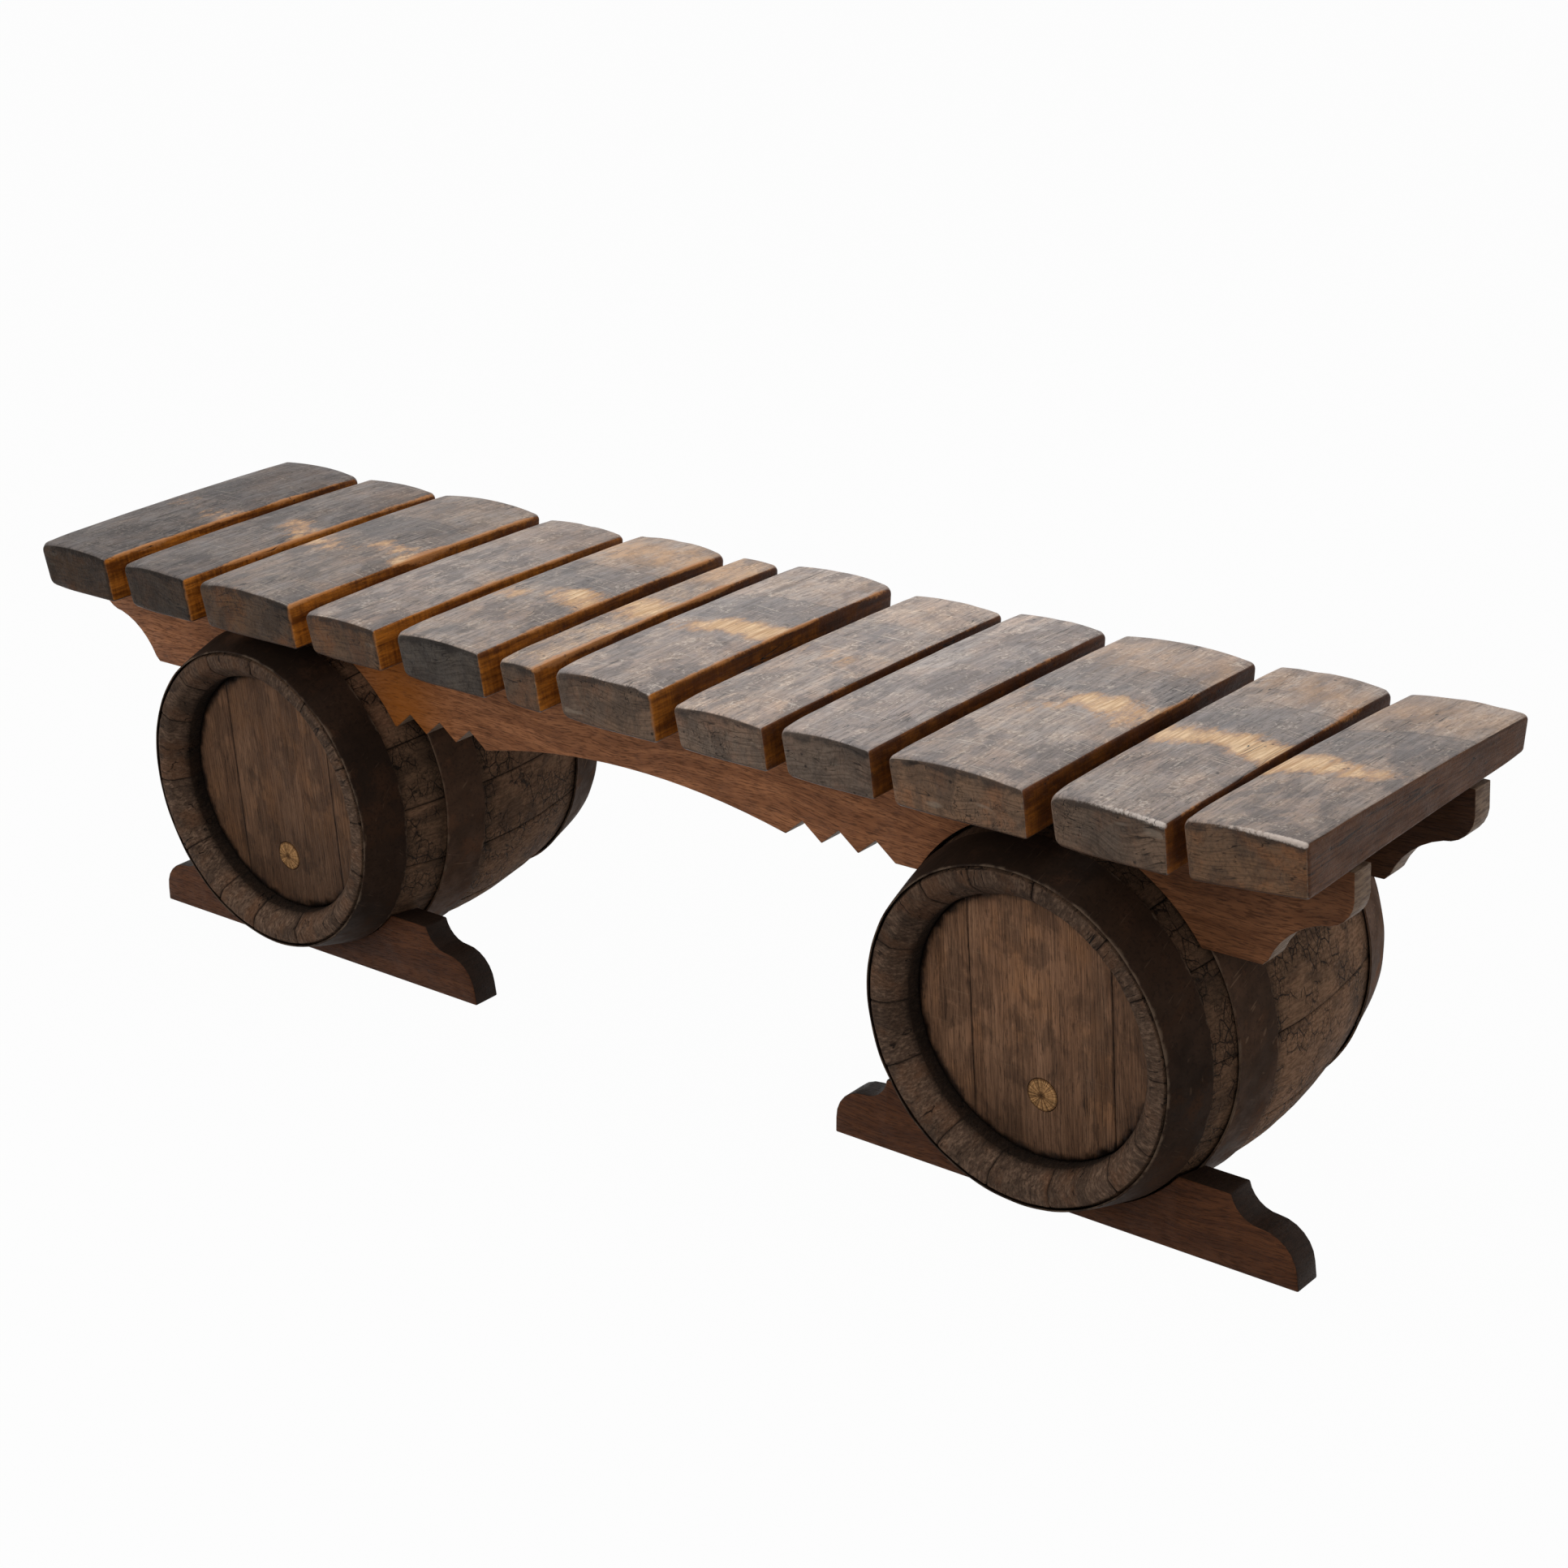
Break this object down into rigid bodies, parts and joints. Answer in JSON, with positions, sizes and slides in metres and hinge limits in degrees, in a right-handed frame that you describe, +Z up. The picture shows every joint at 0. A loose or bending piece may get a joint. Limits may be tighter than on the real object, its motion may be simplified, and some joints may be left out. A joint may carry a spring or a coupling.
{
  "type": "barrel bench",
  "caption": "Slatted bench of old cask staves on shaped timber rails, carried by small oak kegs that lie on their sides with a shaped foot under each.",
  "frame": {"origin": "on the floor, under the middle of the bounding box", "axes": "+X along the bench to the right as seen from the front, +Y from the front, where the keg heads face, to the back, +Z up"},
  "size_m": [1.8009, 0.4126, 0.5043],
  "materials": {
    "seat_oak": "weathered and varnished, satin",
    "rail_oak": "oiled",
    "foot_oak": "oiled",
    "keg_stave_oak": "rough and crackled",
    "keg_head_oak": "dry varnish",
    "plug_wood": "raw end grain",
    "hoop_steel": "worn dark lacquer"
  },
  "bodies": {
    "root": {"seat_plank_01": "seat_oak", "seat_plank_02": "seat_oak", "seat_plank_03": "seat_oak", "seat_plank_04": "seat_oak", "seat_plank_05": "seat_oak", "seat_plank_06": "seat_oak", "seat_plank_07": "seat_oak", "seat_plank_08": "seat_oak", "seat_plank_09": "seat_oak", "seat_plank_10": "seat_oak", "seat_plank_11": "seat_oak", "seat_plank_12": "seat_oak", "front_rail": "rail_oak", "rear_rail": "rail_oak", "left_foot": "foot_oak", "left_keg_stave_01": "keg_stave_oak", "left_keg_stave_02": "keg_stave_oak", "left_keg_stave_03": "keg_stave_oak", "left_keg_stave_04": "keg_stave_oak", "left_keg_stave_05": "keg_stave_oak", "left_keg_stave_06": "keg_stave_oak", "left_keg_stave_07": "keg_stave_oak", "left_keg_stave_08": "keg_stave_oak", "left_keg_stave_09": "keg_stave_oak", "left_keg_stave_10": "keg_stave_oak", "left_keg_stave_11": "keg_stave_oak", "left_keg_stave_12": "keg_stave_oak", "left_keg_stave_13": "keg_stave_oak", "left_keg_stave_14": "keg_stave_oak", "left_keg_front_chime_hoop": "hoop_steel", "left_keg_quarter_hoop": "hoop_steel", "left_keg_rear_chime_hoop": "hoop_steel", "left_keg_head_board_1": "keg_head_oak", "left_keg_head_board_2": "keg_head_oak", "left_keg_head_board_3": "keg_head_oak", "left_keg_rear_head": "keg_head_oak", "left_keg_tap_plug": "plug_wood", "right_foot": "foot_oak", "right_keg_stave_01": "keg_stave_oak", "right_keg_stave_02": "keg_stave_oak", "right_keg_stave_03": "keg_stave_oak", "right_keg_stave_04": "keg_stave_oak", "right_keg_stave_05": "keg_stave_oak", "right_keg_stave_06": "keg_stave_oak", "right_keg_stave_07": "keg_stave_oak", "right_keg_stave_08": "keg_stave_oak", "right_keg_stave_09": "keg_stave_oak", "right_keg_stave_10": "keg_stave_oak", "right_keg_stave_11": "keg_stave_oak", "right_keg_stave_12": "keg_stave_oak", "right_keg_stave_13": "keg_stave_oak", "right_keg_stave_14": "keg_stave_oak", "right_keg_front_chime_hoop": "hoop_steel", "right_keg_quarter_hoop": "hoop_steel", "right_keg_rear_chime_hoop": "hoop_steel", "right_keg_head_board_1": "keg_head_oak", "right_keg_head_board_2": "keg_head_oak", "right_keg_head_board_3": "keg_head_oak", "right_keg_rear_head": "keg_head_oak", "right_keg_tap_plug": "plug_wood"}
  },
  "joints": []
}
